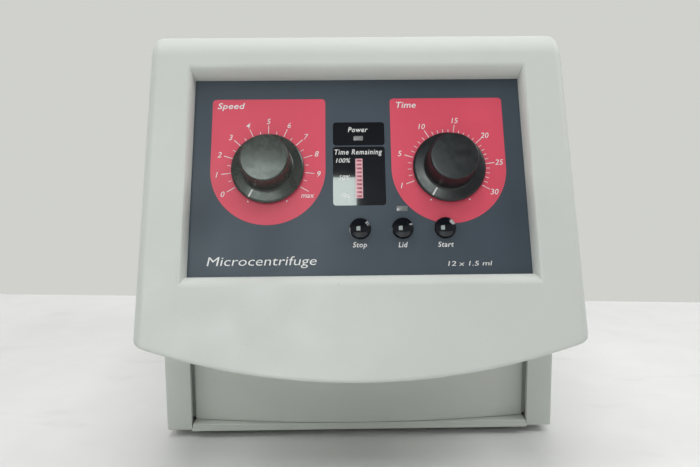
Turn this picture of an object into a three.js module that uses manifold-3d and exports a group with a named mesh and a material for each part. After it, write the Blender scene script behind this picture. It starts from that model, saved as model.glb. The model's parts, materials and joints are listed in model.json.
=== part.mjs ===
// A benchtop microcentrifuge: a moulded housing with a leaning control panel, a hinged lid over
// the rotor chamber, and the motor, latch and electronics that it needs inside.
// Millimetres, +Z up, X to the operator's right, the front faces -Y.
// The origin is at the bottom centre, on the surface that the rubber feet stand on.
import * as THREE from "three";
import { mergeVertices } from "three/addons/utils/BufferGeometryUtils.js";
import Module from "manifold-3d";

const wasm = await Module();
wasm.setup();

// ---------------------------------------------------------------- driving dimensions
const HALF_WIDTH = 110.5; // the housing's half width
const REAR_Y = 157.3; // the housing's back face
const BASE_Z = 4; // the housing's bottom edge, above the feet
const WALL = 3; // moulded wall thickness
const SIDE_ROUND = 5; // rounding of the housing's side edges
const TOP_ROUND = 18; // rounding from the front face to the top
const REAR_ROUND = 14;
const LEAN = THREE.MathUtils.degToRad(20); // the front face leans back from the vertical

const PANEL = { y: -113.3, z: 150, halfU: 87, halfV: 53.6, thick: 1.5 };
const RECESS = 8; // the control panel lies this far under the front face
const OPENING = { halfU: 88.7, halfV: 59 }; // the recess at the front face
const FACE_TOP_V = 64.7; // where the front face starts to round over
const LIP = { v: -106.7, radius: 339.5 }; // lowest point and radius of the chin's curved edge

const CHEEK = { y: -96.3, innerX: 96.5 }; // the two posts beside the apron
const APRON = { y: -98.3, radius: 563, halfWidth: 95.6, thick: 2.5 };
const PAN = { thick: 2, stripHeight: 4 };

const AXIS_Y = 30; // rotor and motor axis, at x = 0
const CHAMBER = { radius: 80, floorZ: 131.2, wall: 1.2 };
const DECK = { floorZ: 204, thick: 3, y0: -77, y1: 144, halfX: 104 };
const LID_HOLE = { halfX: 99, y0: -72, y1: 126 };
const LID = { halfX: 98, y0: -71, y1: 121, bottomZ: 208.5, edgeZ: 225.5, crown: 4.5, wall: 4 };
const HINGE = { y: 131, z: 219, x: 60, halfWidth: 12, radius: 5.5, pinRadius: 2.3 };
const KNOB = { u: 47.4, v: 3.3, skirtR: 19, capR: 12.2, height: 18.4 };
const BUTTON = { v: -29.2, pitch: 21.8, radius: 5.2, flangeR: 6.4 };
const ROTOR = { radius: 68, bottomZ: 138, topZ: 190, wells: 12, mouthR: 38, mouthZ: 172 };
const WELL = { radius: 5.6, depth: 32, tilt: Math.PI / 4 };
const REAR_WINDOW = { halfX: 100, z0: 10, z1: 196 };
const INLET = { x: -60, z: 42 };
const SWITCH = { x: -14, z: 42 };

// ---------------------------------------------------------------- colours
const COLOUR = {
  housing: { color: 0xc9cdc6, roughness: 0.6 },
  panel: { color: 0x47505a, roughness: 0.45 },
  window: { color: 0x14161c, roughness: 0.12 },
  black: { color: 0x17181a, roughness: 0.35 },
  rubber: { color: 0x1c1c1d, roughness: 0.9 },
  steel: { color: 0xb4b7ba, roughness: 0.3, metalness: 1 },
  zinc: { color: 0x9a9fa3, roughness: 0.45, metalness: 1 },
  aluminium: { color: 0x6f757c, roughness: 0.4, metalness: 1 },
  board: { color: 0x1f5a38, roughness: 0.5 },
  copper: { color: 0xb46a3c, roughness: 0.4, metalness: 1 },
  lens: { color: 0xb9bcb6, roughness: 0.3 },
  bar: { color: 0xd9a3ad, roughness: 0.3 },
};

// ---------------------------------------------------------------- solids
const X = new THREE.Vector3(1, 0, 0);
const Y = new THREE.Vector3(0, 1, 0);
const Z = new THREE.Vector3(0, 0, 1);
const ALONG_X = new THREE.Matrix4().makeBasis(Y, Z, X); // a (y, z) outline, extruded along +X
const ALONG_MINUS_Y = new THREE.Matrix4().makeBasis(X, Z, Y.clone().negate()); // an (x, z) outline
const PANEL_FRAME = new THREE.Matrix4()
  .makeRotationX(Math.PI / 2 - LEAN)
  .setPosition(0, PANEL.y, PANEL.z);

// A closed geometry as a manifold solid, turned right side out.
function solidOf(geometry) {
  const bare = geometry.index ? geometry.toNonIndexed() : geometry.clone();
  bare.deleteAttribute("normal");
  bare.deleteAttribute("uv");
  const merged = mergeVertices(bare, 1e-4);
  const triVerts = new Uint32Array(merged.index.array);
  const vertProperties = merged.attributes.position.array;
  const made = new wasm.Manifold(new wasm.Mesh({ numProp: 3, vertProperties, triVerts }));
  if (made.volume() > 0) return made;
  return new wasm.Manifold(
    new wasm.Mesh({ numProp: 3, vertProperties, triVerts: triVerts.slice().reverse() }),
  );
}

function geometryOf(solid) {
  const mesh = solid.getMesh();
  const positions = new Float32Array(mesh.numVert * 3);
  for (let i = 0; i < mesh.numVert; i++) {
    const start = i * mesh.numProp;
    positions.set(mesh.vertProperties.subarray(start, start + 3), i * 3);
  }
  const geometry = new THREE.BufferGeometry();
  geometry.setAttribute("position", new THREE.BufferAttribute(positions, 3));
  geometry.setIndex(new THREE.BufferAttribute(mesh.triVerts, 1));
  geometry.computeVertexNormals();
  return geometry;
}

const joined = (...solids) => solids.reduce((a, b) => a.add(b));
const cut = (solid, ...tools) => tools.reduce((a, b) => a.subtract(b), solid);

function box(x0, x1, y0, y1, z0, z1) {
  const geometry = new THREE.BoxGeometry(x1 - x0, y1 - y0, z1 - z0);
  geometry.translate((x0 + x1) / 2, (y0 + y1) / 2, (z0 + z1) / 2);
  return solidOf(geometry);
}

// A cylinder or cone frustum from low to high on the axis given, round a centre line.
function cylinder(axis, centre, radius, low, high, segments = 24, highRadius = radius) {
  const geometry = new THREE.CylinderGeometry(highRadius, radius, high - low, segments);
  geometry.translate(0, (low + high) / 2, 0);
  const [a, b] = centre;
  if (axis === "z") geometry.rotateX(Math.PI / 2).translate(a, b, 0);
  if (axis === "x") geometry.rotateZ(-Math.PI / 2).translate(0, a, b);
  if (axis === "y") geometry.translate(a, 0, b);
  return solidOf(geometry);
}

// A body of revolution about a vertical line, from [radius, z] pairs.
function turned(points, segments = 32, centreX = 0, centreY = 0) {
  const profile = points.map(([r, z]) => new THREE.Vector2(r, z));
  const geometry = new THREE.LatheGeometry(profile, segments);
  geometry.rotateX(Math.PI / 2).translate(centreX, centreY, 0);
  return solidOf(geometry);
}

// The same for a ring, whose profile closes on itself.
function ring(points, segments = 32, centreX = 0, centreY = 0) {
  return turned([...points, points[0]], segments, centreX, centreY);
}

function roundedRectangle(x0, x1, y0, y1, r) {
  const shape = new THREE.Shape();
  shape.moveTo(x0 + r, y0);
  shape.absarc(x1 - r, y0 + r, r, -Math.PI / 2, 0);
  shape.absarc(x1 - r, y1 - r, r, 0, Math.PI / 2);
  shape.absarc(x0 + r, y1 - r, r, Math.PI / 2, Math.PI);
  shape.absarc(x0 + r, y0 + r, r, Math.PI, 1.5 * Math.PI);
  return shape;
}

function extruded(shape, depth, matrix, options = {}) {
  const settings = { depth, bevelEnabled: false, curveSegments: 4, ...options };
  return solidOf(new THREE.ExtrudeGeometry(shape, settings).applyMatrix4(matrix));
}

const lifted = (z) => new THREE.Matrix4().makeTranslation(0, 0, z);

function roundedBlock(x0, x1, y0, y1, r, z0, z1) {
  return extruded(roundedRectangle(x0, x1, y0, y1, r), z1 - z0, lifted(z0));
}

// ---------------------------------------------------------------- the front face
// The (y, z) point at v up the leaning face and w out of the control panel's plane.
function facePoint(v, w) {
  const y = PANEL.y + v * Math.sin(LEAN) - w * Math.cos(LEAN);
  const z = PANEL.z + v * Math.cos(LEAN) + w * Math.sin(LEAN);
  return [y, z];
}

const [SHOULDER_Y, SHOULDER_Z] = facePoint(FACE_TOP_V, RECESS);
const TOP_ARC_Y = SHOULDER_Y + TOP_ROUND * Math.cos(LEAN);
const TOP_ARC_Z = SHOULDER_Z - TOP_ROUND * Math.sin(LEAN);
const TOP_Z = TOP_ARC_Z + TOP_ROUND; // the flat top of the housing
const BELOW = -20; // outlines run down to here and are cut off at the base

// The housing's side outline, drawn `inset` inside its outer skin.
function sideOutline(inset) {
  const w = RECESS - inset;
  const footV = (BELOW - PANEL.z - w * Math.sin(LEAN)) / Math.cos(LEAN);
  const shape = new THREE.Shape();
  shape.moveTo(...facePoint(footV, w));
  shape.lineTo(...facePoint(FACE_TOP_V, w));
  shape.absarc(TOP_ARC_Y, TOP_ARC_Z, TOP_ROUND - inset, Math.PI - LEAN, Math.PI / 2, true);
  const rearArcY = REAR_Y - REAR_ROUND;
  shape.absarc(rearArcY, TOP_Z - REAR_ROUND, REAR_ROUND - inset, Math.PI / 2, 0, true);
  shape.lineTo(REAR_Y - inset, BELOW);
  return shape;
}

function housingBlock(inset, sideRound, roundSteps) {
  const halfWidth = HALF_WIDTH - inset;
  const depth = 2 * (halfWidth - sideRound);
  return extruded(sideOutline(inset), depth, ALONG_X, {
    curveSegments: 10,
    bevelEnabled: true,
    bevelThickness: sideRound,
    bevelSize: sideRound,
    bevelOffset: -sideRound,
    bevelSegments: roundSteps,
  }).translate([-(halfWidth - sideRound), 0, 0]);
}

// The height of the chin's edge at x.
const LIP_Z = facePoint(LIP.v, RECESS)[1];
function lipHeight(x) {
  const rise = LIP.radius - Math.sqrt(LIP.radius ** 2 - x ** 2);
  return LIP_Z + rise * Math.cos(LEAN);
}

// Everything under the chin's curved edge, raised by `raise`, between two y planes.
function underChin(raise, y0, y1, halfWidth) {
  const steps = 24;
  const shape = new THREE.Shape();
  shape.moveTo(-halfWidth, BELOW - 10);
  shape.lineTo(halfWidth, BELOW - 10);
  for (let i = steps; i >= 0; i--) {
    const x = halfWidth * ((2 * i) / steps - 1);
    shape.lineTo(x, lipHeight(x) + raise);
  }
  return extruded(shape, y1 - y0, ALONG_MINUS_Y).translate([0, y1, 0]);
}

// The recess for the control panel: a box that narrows towards the panel.
function recessCutter() {
  const depth = RECESS + 0.7;
  const geometry = new THREE.BoxGeometry(2, 2, depth);
  const position = geometry.attributes.position;
  for (let i = 0; i < position.count; i++) {
    const outer = position.getZ(i) > 0;
    const halfU = outer ? OPENING.halfU : PANEL.halfU;
    const halfV = outer ? OPENING.halfV : PANEL.halfV;
    position.setX(i, position.getX(i) * halfU);
    position.setY(i, position.getY(i) * halfV);
  }
  geometry.translate(0, 0, depth / 2);
  return solidOf(geometry.applyMatrix4(PANEL_FRAME));
}

function panelBox(u0, u1, v0, v1, w0, w1) {
  return box(u0, u1, v0, v1, w0, w1).transform(PANEL_FRAME.elements);
}

// ---------------------------------------------------------------- housing and base
function sideVents() {
  const slots = [];
  for (let i = 0; i < 9; i++) {
    const y = 62 + 8 * i;
    slots.push(box(-HALF_WIDTH - 1, HALF_WIDTH + 1, y - 1.5, y + 1.5, 26, 62));
  }
  return joined(...slots);
}

function upperHousing() {
  const cavity = cut(
    housingBlock(WALL, SIDE_ROUND - WALL, 2),
    underChin(WALL, -220, CHEEK.y + WALL, HALF_WIDTH + 20),
  );
  const frame = panelBox(-94, 94, -63, 63, 0.4, RECESS - WALL + 0.2);
  const shell = cut(
    housingBlock(0, SIDE_ROUND, 3),
    box(-150, 150, -250, 250, BELOW - 30, BASE_Z),
    underChin(0, -220, CHEEK.y, HALF_WIDTH + 20),
    cavity,
  );
  const knuckleNotches = [-1, 1].map((side) =>
    box(side * HINGE.x - 13, side * HINGE.x + 13, LID_HOLE.y1 - 1, HINGE.y + 9, 215, 240),
  );
  return cut(
    shell.add(frame),
    recessCutter(),
    underChin(0, CHEEK.y - 1, CHEEK.y + WALL + 1, CHEEK.innerX),
    roundedBlock(-LID_HOLE.halfX, LID_HOLE.halfX, LID_HOLE.y0, LID_HOLE.y1, 8, 215, 240),
    ...knuckleNotches,
    box(-REAR_WINDOW.halfX, REAR_WINDOW.halfX, 150, 170, REAR_WINDOW.z0, REAR_WINDOW.z1),
    sideVents(),
  );
}

// The bowed panel under the chin, with side flanges that turn in behind the cheeks.
function frontApron() {
  const steps = 16;
  const bowAt = (x) => APRON.y + x ** 2 / (2 * APRON.radius);
  const shape = new THREE.Shape();
  const backY = bowAt(APRON.halfWidth) + 4.6;
  const tongueX = APRON.halfWidth + 4.4;
  shape.moveTo(-APRON.halfWidth, bowAt(APRON.halfWidth));
  for (let i = 1; i <= steps; i++) {
    const x = APRON.halfWidth * ((2 * i) / steps - 1);
    shape.lineTo(x, bowAt(x));
  }
  shape.lineTo(APRON.halfWidth, backY - 2);
  shape.lineTo(tongueX, backY - 2);
  shape.lineTo(tongueX, backY);
  shape.lineTo(APRON.halfWidth - 2, backY);
  for (let i = steps; i >= 0; i--) {
    const x = (APRON.halfWidth - 2) * ((2 * i) / steps - 1);
    shape.lineTo(x, bowAt(x) + APRON.thick);
  }
  shape.lineTo(-(APRON.halfWidth - 2), backY);
  shape.lineTo(-tongueX, backY);
  shape.lineTo(-tongueX, backY - 2);
  shape.lineTo(-APRON.halfWidth, backY - 2);
  const bottom = BASE_Z + PAN.stripHeight + 0.3;
  const sheet = extruded(shape, 90, lifted(bottom));
  return sheet.intersect(underChin(-0.4, -150, -50, 120));
}

function basePan() {
  const floor = new THREE.Shape();
  const front = APRON.y;
  const neck = CHEEK.innerX - 0.3;
  const half = HALF_WIDTH - WALL - 0.3;
  const step = CHEEK.y + WALL + 0.3;
  const rear = REAR_Y - WALL - 0.3;
  const corner = 5;
  floor.moveTo(-neck, front);
  floor.lineTo(neck, front);
  floor.lineTo(neck, step);
  floor.lineTo(half, step);
  floor.lineTo(half, rear - corner);
  floor.lineTo(half - corner, rear);
  floor.lineTo(-half + corner, rear);
  floor.lineTo(-half, rear - corner);
  floor.lineTo(-half, step);
  floor.lineTo(-neck, step);
  const floorTop = BASE_Z + PAN.thick;
  const stripTop = BASE_Z + PAN.stripHeight;
  const slots = [];
  for (let i = 0; i < 9; i++) {
    const x = -32 + 8 * i;
    const reach = Math.sqrt(38 ** 2 - x ** 2);
    slots.push(box(x - 1.5, x + 1.5, AXIS_Y - reach, AXIS_Y + reach, 0, 20));
  }
  return cut(
    joined(
      extruded(floor, PAN.thick, lifted(BASE_Z)),
      box(-APRON.halfWidth, APRON.halfWidth, front, front + 9, floorTop - 0.5, stripTop),
      box(-half, -half + 2, -60, 140, floorTop - 0.5, floorTop + 12),
      box(half - 2, half, -60, 140, floorTop - 0.5, floorTop + 12),
    ),
    ...slots,
  );
}

function foot(x, y) {
  return turned([[0, 0], [8, 0], [9, 1], [9.5, 3.9], [0, 3.9]], 16, x, y);
}

// ---------------------------------------------------------------- deck, chamber and lid
function chamberDeck() {
  const block = box(-DECK.halfX, DECK.halfX, DECK.y0, DECK.y1, DECK.floorZ, TOP_Z - WALL - 0.3);
  const floorTop = DECK.floorZ + DECK.thick;
  const gap = 0.3;
  const tools = [
    roundedBlock(
      -LID_HOLE.halfX - gap, LID_HOLE.halfX + gap, LID_HOLE.y0 - gap, LID_HOLE.y1 + gap,
      8, floorTop, 240,
    ),
    cylinder("z", [0, AXIS_Y], CHAMBER.radius + 0.4, 190, 220, 40),
    box(-10.5, 10.5, -69, -61.5, 190, 220),
  ];
  for (const side of [-1, 1]) {
    const x = side * HINGE.x;
    tools.push(box(x - 13, x + 13, LID_HOLE.y1 - 2, HINGE.y + 9, floorTop, 240));
    tools.push(cylinder("x", [HINGE.y, HINGE.z], 2.6, x - 18.5, x + 18.5, 16));
  }
  return cut(block, ...tools);
}

function hingePin(side) {
  const x = side * HINGE.x;
  return cylinder("x", [HINGE.y, HINGE.z], HINGE.pinRadius, x - 18, x + 18, 16);
}

function chamberBowl() {
  const { radius, floorZ, wall } = CHAMBER;
  const rimZ = DECK.floorZ - 0.2;
  const profile = [
    [15, floorZ - wall], [radius - 8, floorZ - wall], [radius + wall, floorZ + 8],
    [radius + wall, rimZ - wall], [radius + 7, rimZ - wall], [radius + 7, rimZ],
    [radius, rimZ], [radius, floorZ + 8.5], [radius - 8.5, floorZ], [15, floorZ],
  ];
  return ring(profile, 40, 0, AXIS_Y);
}

function guardRing() {
  return ring([[88.2, 140], [90.7, 140], [90.7, 202], [88.2, 202]], 32, 0, AXIS_Y);
}

function lidGasket() {
  const z = DECK.floorZ + DECK.thick;
  return ring([[82, z + 0.2], [86, z + 0.2], [85, z + 1.9], [83, z + 1.9]], 36, 0, AXIS_Y);
}

// A crowned top skin: outlines in two directions, each a flat arc, meet over the plan.
function crownedTop(topZ, span0, span1, matrix, length) {
  const steps = 12;
  const shape = new THREE.Shape();
  shape.moveTo(span0, 190);
  shape.lineTo(span1, 190);
  for (let i = steps; i >= 0; i--) {
    const t = (2 * i) / steps - 1;
    const along = (span0 + span1) / 2 + (t * (span1 - span0)) / 2;
    shape.lineTo(along, topZ + LID.crown * (1 - t * t));
  }
  return extruded(shape, length, matrix);
}

function lidShell() {
  const plan = roundedBlock(-LID.halfX, LID.halfX, LID.y0, LID.y1, 8, LID.bottomZ, 260);
  const skin = plan
    .intersect(crownedTop(LID.edgeZ, LID.y0, LID.y1, ALONG_X, 240).translate([-120, 0, 0]))
    .intersect(
      crownedTop(LID.edgeZ, -LID.halfX, LID.halfX, ALONG_MINUS_Y, 300).translate([0, 200, 0]),
    );
  const inner = roundedBlock(
    -LID.halfX + LID.wall, LID.halfX - LID.wall, LID.y0 + LID.wall, LID.y1 - LID.wall,
    5, 190, LID.edgeZ - 3,
  );
  const knuckles = [-1, 1].map((side) => {
    const x = side * HINGE.x;
    const half = HINGE.halfWidth;
    const arm = box(x - half, x + half, LID.y1 - 2, HINGE.y, HINGE.z - 5, HINGE.z + 5.4);
    const barrel = cylinder("x", [HINGE.y, HINGE.z], HINGE.radius, x - half, x + half, 20);
    const bore = cylinder("x", [HINGE.y, HINGE.z], HINGE.pinRadius + 0.35, x - 30, x + 30, 16);
    return arm.add(barrel).subtract(bore);
  });
  return joined(skin.subtract(inner), ...knuckles);
}

function lidLiner() {
  const inset = LID.wall + 0.4;
  const plate = roundedBlock(
    -LID.halfX + inset, LID.halfX - inset, LID.y0 + inset, LID.y1 - inset, 5, 209.3, 211.8,
  );
  const plug = cylinder("z", [0, AXIS_Y], 76, 203, 210, 40, 77);
  return plate.add(plug).subtract(box(-9.5, 9.5, -66.4, -63.8, 200, 215));
}

function lidStriker() {
  const plate = box(-9, 9, -66, -64.2, 188, 215);
  return plate.subtract(box(-6, 6, -70, -60, 190.5, 199.5));
}

function latchFrame() {
  return box(-16, 16, -82, -70, 180, 203.7).subtract(box(-5.4, 5.4, -90, -60, 191.6, 197.4));
}

function latchSolenoid() {
  return joined(box(-13, 13, -82, -66, 150, 153), box(-13, 13, -82, -66, 176, 179),
    cylinder("z", [0, -74], 7.8, 152, 177, 20));
}

// ---------------------------------------------------------------- rotor and motor
function rotor() {
  const { radius, bottomZ, topZ, mouthR, mouthZ } = ROTOR;
  const rimR = mouthR + (topZ - mouthZ);
  const footR = mouthR - (mouthZ - 160);
  const body = turned(
    [
      [0, bottomZ], [50, bottomZ], [radius, bottomZ + 12], [radius, topZ - 1.5],
      [radius - 1.5, topZ], [rimR, topZ], [footR, 160], [16, 160], [16, 171], [0, 171],
    ],
    24, 0, AXIS_Y,
  );
  const wells = [];
  for (let i = 0; i < ROTOR.wells; i++) {
    const start = -12; // runs out of the mouth
    const geometry = new THREE.CylinderGeometry(
      WELL.radius, WELL.radius, WELL.depth - start, 8,
    );
    geometry.translate(0, -(WELL.depth + start) / 2, 0);
    geometry.rotateX(Math.PI / 2); // the axis now runs down -Z from the mouth
    geometry.rotateY(-WELL.tilt); // and leans outwards as it goes down
    geometry.translate(mouthR, 0, mouthZ);
    geometry.rotateZ((i * 2 * Math.PI) / ROTOR.wells).translate(0, AXIS_Y, 0);
    wells.push(solidOf(geometry));
  }
  return cut(body, cylinder("z", [0, AXIS_Y], 5.4, 100, 200, 12), ...wells);
}

function rotorNut() {
  const grips = [];
  for (let i = 0; i < 12; i++) {
    const angle = (i * Math.PI) / 6;
    const at = [14.2 * Math.cos(angle), AXIS_Y + 14.2 * Math.sin(angle)];
    grips.push(cylinder("z", at, 2.2, 174, 190, 6));
  }
  const head = ring(
    [[5.4, 171.3], [10, 171.3], [13, 174], [13, 184], [11.5, 186], [5.4, 186]], 24, 0, AXIS_Y,
  );
  return cut(head, ...grips);
}

function motorShaft() {
  return turned([[0, 22], [5, 22], [5, 182], [4, 184], [0, 184]], 16, 0, AXIS_Y);
}

function shaftSeal() {
  const profile = [[6, 122.6], [12, 122.6], [14.4, 126], [14.4, 129], [10, 134], [6, 134]];
  return ring(profile, 20, 0, AXIS_Y);
}

const topBell = () =>
  ring(
    [[11.4, 100], [42, 100], [42, 109], [54, 109], [54, 112], [20, 112], [18, 116], [11.4, 116]],
    24, 0, AXIS_Y,
  );
const stator = () => ring([[8, 50], [44, 50], [44, 99.7], [8, 99.7]], 24, 0, AXIS_Y);
const bottomBell = () =>
  ring([[11.4, 38], [34, 38], [42, 42], [42, 49.7], [11.4, 49.7]], 24, 0, AXIS_Y);
const bearing = (z) => ring([[5.4, z], [11, z], [11, z + 8], [5.4, z + 8]], 16, 0, AXIS_Y);

function isolator(index) {
  const angle = Math.PI / 2 + (index * 2 * Math.PI) / 3;
  const at = [48 * Math.cos(angle), AXIS_Y + 48 * Math.sin(angle)];
  return turned([[0, 112.3], [5.5, 112.3], [4.2, 115.5], [5.5, 118.7], [0, 118.7]], 12, ...at);
}

function motorFrame() {
  const plate = roundedBlock(-70, 70, -36, 96, 6, 119, 121);
  const legs = [-1, 1].map((side) => {
    const outer = side * 70;
    const inner = side * 68;
    const wall = box(Math.min(outer, inner), Math.max(outer, inner), -28, 88, 6.3, 119.5);
    const toe = box(Math.min(outer, side * 84), Math.max(outer, side * 84), -28, 88, 6.3, 8.3);
    const window = box(-90, 90, -2, 62, 40, 100);
    return cut(wall.add(toe), window);
  });
  return cut(joined(plate, ...legs), cylinder("z", [0, AXIS_Y], 24, 100, 130, 32));
}

function coolingFan() {
  const hub = ring([[5.3, 24], [12, 24], [12, 34], [5.3, 34]], 24, 0, AXIS_Y);
  const blades = [];
  for (let i = 0; i < 7; i++) {
    const geometry = new THREE.BoxGeometry(25, 1.6, 11);
    geometry.rotateX(0.6).translate(22.5, 0, 29);
    geometry.rotateZ((i * 2 * Math.PI) / 7).translate(0, AXIS_Y, 0);
    blades.push(solidOf(geometry));
  }
  return joined(hub, ...blades);
}

// ---------------------------------------------------------------- electronics and back
function transformer() {
  return joined(
    box(-78, -30, -82, -46, 14, 46),
    box(-70, -38, -85, -43, 18, 42),
  );
}

function rearPanel() {
  const slots = [];
  for (let row = 0; row < 10; row++) {
    const z = 96 + 7 * row;
    slots.push(box(-60, -4, 150, 156, z - 1.5, z + 1.5), box(4, 60, 150, 156, z - 1.5, z + 1.5));
  }
  return cut(
    box(-103, 103, 152, 153.7, 7, 199),
    box(INLET.x - 13.8, INLET.x + 13.8, 150, 156, INLET.z - 10.4, INLET.z + 10.4),
    box(INLET.x - 10.3, INLET.x + 10.3, 150, 156, INLET.z - 24.3, INLET.z - 15.7),
    box(SWITCH.x - 11.4, SWITCH.x + 11.4, 150, 156, SWITCH.z - 14.4, SWITCH.z + 14.4),
    ...slots,
  );
}

function powerInlet() {
  const { x, z } = INLET;
  const shell = joined(
    box(x - 16, x + 16, 154, 155.8, z - 12.5, z + 12.5),
    box(x - 13.4, x + 13.4, 130, 154.5, z - 10, z + 10),
  );
  const blades = [[0, 3.6], [-7, -2.6], [7, -2.6]].map(([dx, dz]) =>
    box(x + dx - 1, x + dx + 1, 136, 152, z + dz - 2, z + dz + 2),
  );
  return joined(cut(shell, box(x - 12, x + 12, 138, 160, z - 8.2, z + 8.2)), ...blades);
}

const fuseDrawer = () =>
  joined(
    box(INLET.x - 12, INLET.x + 12, 154, 156, INLET.z - 26, INLET.z - 14),
    box(INLET.x - 10, INLET.x + 10, 134, 154.5, INLET.z - 24, INLET.z - 16),
  );

function switchFrame() {
  const { x, z } = SWITCH;
  const shell = joined(
    box(x - 14, x + 14, 154, 155.8, z - 17, z + 17),
    box(x - 11, x + 11, 134, 154.5, z - 14, z + 14),
  );
  return cut(shell, box(x - 9.4, x + 9.4, 137, 160, z - 12.4, z + 12.4));
}

// The rocker, drawn level about its own pivot, then rested on its lower half.
const ROCKER = { y: 145.3, halfX: 9, rest: THREE.MathUtils.degToRad(10) };
function powerRocker() {
  const shape = new THREE.Shape();
  const outline = [[-5, -7], [7, -10.6], [9.6, -10.6], [8, 0], [9.6, 10.6], [7, 10.6], [-5, 7]];
  outline.forEach(([y, z], i) => (i ? shape.lineTo(y, z) : shape.moveTo(y, z)));
  const turn = new THREE.Matrix4().makeRotationX(-ROCKER.rest);
  const place = new THREE.Matrix4().makeTranslation(SWITCH.x - ROCKER.halfX, ROCKER.y, SWITCH.z);
  return extruded(shape, 2 * ROCKER.halfX, place.multiply(turn).multiply(ALONG_X));
}

// ---------------------------------------------------------------- the control panel
// These are drawn in the panel's own frame: u to the right, v up the slope, w outwards.
const buttonU = (index) => 0.3 + index * BUTTON.pitch;
const POWER_PANE = [-13.4, 14, 16.2, 29.2];
const TIME_PANE = [-13.4, 14, -16.8, 15.4];
const POWER_LAMP = [-2.4, 2.6, 18.8, 21.5];
const TIME_BAR = [-1.6, 2.1, -12.9, 8.7];
const LID_LAMP = [19.2, 25.1, -20.2, -17.2];
const grown = ([u0, u1, v0, v1], by) => [u0 - by, u1 + by, v0 - by, v1 + by];
const slab = (rect, w0, w1) => box(...rect, w0, w1);

function controlPanel() {
  const tools = [
    slab(grown(POWER_PANE, 0.15), -5, 5),
    slab(grown(TIME_PANE, 0.15), -5, 5),
    slab(grown(LID_LAMP, 0.15), -5, 5),
    cylinder("z", [-KNOB.u, KNOB.v], 5, -5, 5, 20),
    cylinder("z", [KNOB.u, KNOB.v], 5, -5, 5, 20),
  ];
  for (let i = 0; i < 3; i++) {
    tools.push(cylinder("z", [buttonU(i), BUTTON.v], BUTTON.radius + 0.35, -5, 5, 20));
  }
  const sheet = box(-PANEL.halfU - 3, PANEL.halfU + 3, -PANEL.halfV - 3, PANEL.halfV + 3, -1.5, 0);
  return cut(sheet, ...tools);
}

const pane = (rect, lamp) => slab(rect, -1.5, 0.05).subtract(slab(grown(lamp, 0.12), -5, 5));

function controlBoard() {
  const parts = [box(-82, 82, -46, 46, -16, -14.4)];
  for (let i = 0; i < 3; i++) {
    const u = buttonU(i);
    parts.push(box(u - 6, u + 6, BUTTON.v - 6, BUTTON.v + 6, -14.6, -10.4));
  }
  return cut(
    joined(...parts),
    cylinder("z", [-KNOB.u, KNOB.v], 12, -20, 0, 20),
    cylinder("z", [KNOB.u, KNOB.v], 12, -20, 0, 20),
  );
}

function potentiometer(u) {
  const profile = [[3.3, -20], [11, -20], [11, -6], [4.7, -6], [4.7, -0.3], [3.3, -0.3]];
  return ring(profile, 20, u, KNOB.v);
}

const knobShaft = (u) => cylinder("z", [u, KNOB.v], 3, -18, 14.6, 16);

function knob(u) {
  const { skirtR, capR, height } = KNOB;
  const profile = [
    [0, 15], [3.3, 15], [3.3, 0.8], [skirtR - 0.6, 0.8], [skirtR, 1.5], [skirtR, 2.1],
    [skirtR - 0.8, 2.8], [capR + 1.2, 3.9], [capR + 0.5, 4.6], [capR, height - 0.8],
    [capR - 0.8, height], [0, height],
  ];
  return turned(profile, 32, u, KNOB.v);
}

function pushButton(index) {
  const { radius, flangeR } = BUTTON;
  const profile = [
    [0, -8], [2, -8], [2, -4], [flangeR, -4], [flangeR, -2.1], [radius, -2.1], [radius, 1.2],
    [radius * 0.88, 2.3], [radius * 0.5, 3.5], [0, 3.9],
  ];
  return turned(profile, 20, buttonU(index), BUTTON.v);
}

// ---------------------------------------------------------------- the assembly
const microcentrifuge = new THREE.Group();
const panelGroup = new THREE.Group();
panelGroup.applyMatrix4(PANEL_FRAME);
microcentrifuge.add(panelGroup);

function place(name, solid, look, group = microcentrifuge) {
  const material = new THREE.MeshStandardMaterial(look);
  const mesh = new THREE.Mesh(geometryOf(solid), material);
  mesh.name = name;
  group.add(mesh);
}

place("upper_housing", upperHousing(), COLOUR.housing);
place("front_apron", frontApron(), COLOUR.housing);
place("base_pan", basePan(), COLOUR.housing);
for (const [name, x, y] of [
  ["foot_front_left", -88, -76],
  ["foot_front_right", 88, -76],
  ["foot_rear_left", -88, 132],
  ["foot_rear_right", 88, 132],
]) {
  place(name, foot(x, y), COLOUR.rubber);
}

place("chamber_deck", chamberDeck(), COLOUR.housing);
place("hinge_pin_left", hingePin(-1), COLOUR.steel);
place("hinge_pin_right", hingePin(1), COLOUR.steel);
place("chamber_bowl", chamberBowl(), COLOUR.steel);
place("guard_ring", guardRing(), COLOUR.zinc);
place("lid_gasket", lidGasket(), COLOUR.rubber);
place("lid_shell", lidShell(), COLOUR.housing);
place("lid_liner", lidLiner(), COLOUR.housing);
place("lid_striker", lidStriker(), COLOUR.zinc);
place("latch_frame", latchFrame(), COLOUR.zinc);
place("latch_solenoid", latchSolenoid(), COLOUR.black);
place("latch_bolt", box(-5, 5, -81, -69.6, 192, 197), COLOUR.steel);

place("rotor", rotor(), COLOUR.aluminium);
place("rotor_nut", rotorNut(), COLOUR.black);
place("motor_shaft", motorShaft(), COLOUR.steel);
place("cooling_fan", coolingFan(), COLOUR.black);
place("shaft_seal", shaftSeal(), COLOUR.rubber);
place("motor_top_bell", topBell(), COLOUR.aluminium);
place("motor_stator", stator(), COLOUR.zinc);
place("motor_bottom_bell", bottomBell(), COLOUR.aluminium);
place("upper_bearing", bearing(104), COLOUR.steel);
place("lower_bearing", bearing(40), COLOUR.steel);
place("motor_frame", motorFrame(), COLOUR.zinc);
for (let i = 0; i < 3; i++) {
  place(`motor_isolator_${i + 1}`, isolator(i), COLOUR.rubber);
}

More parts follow.
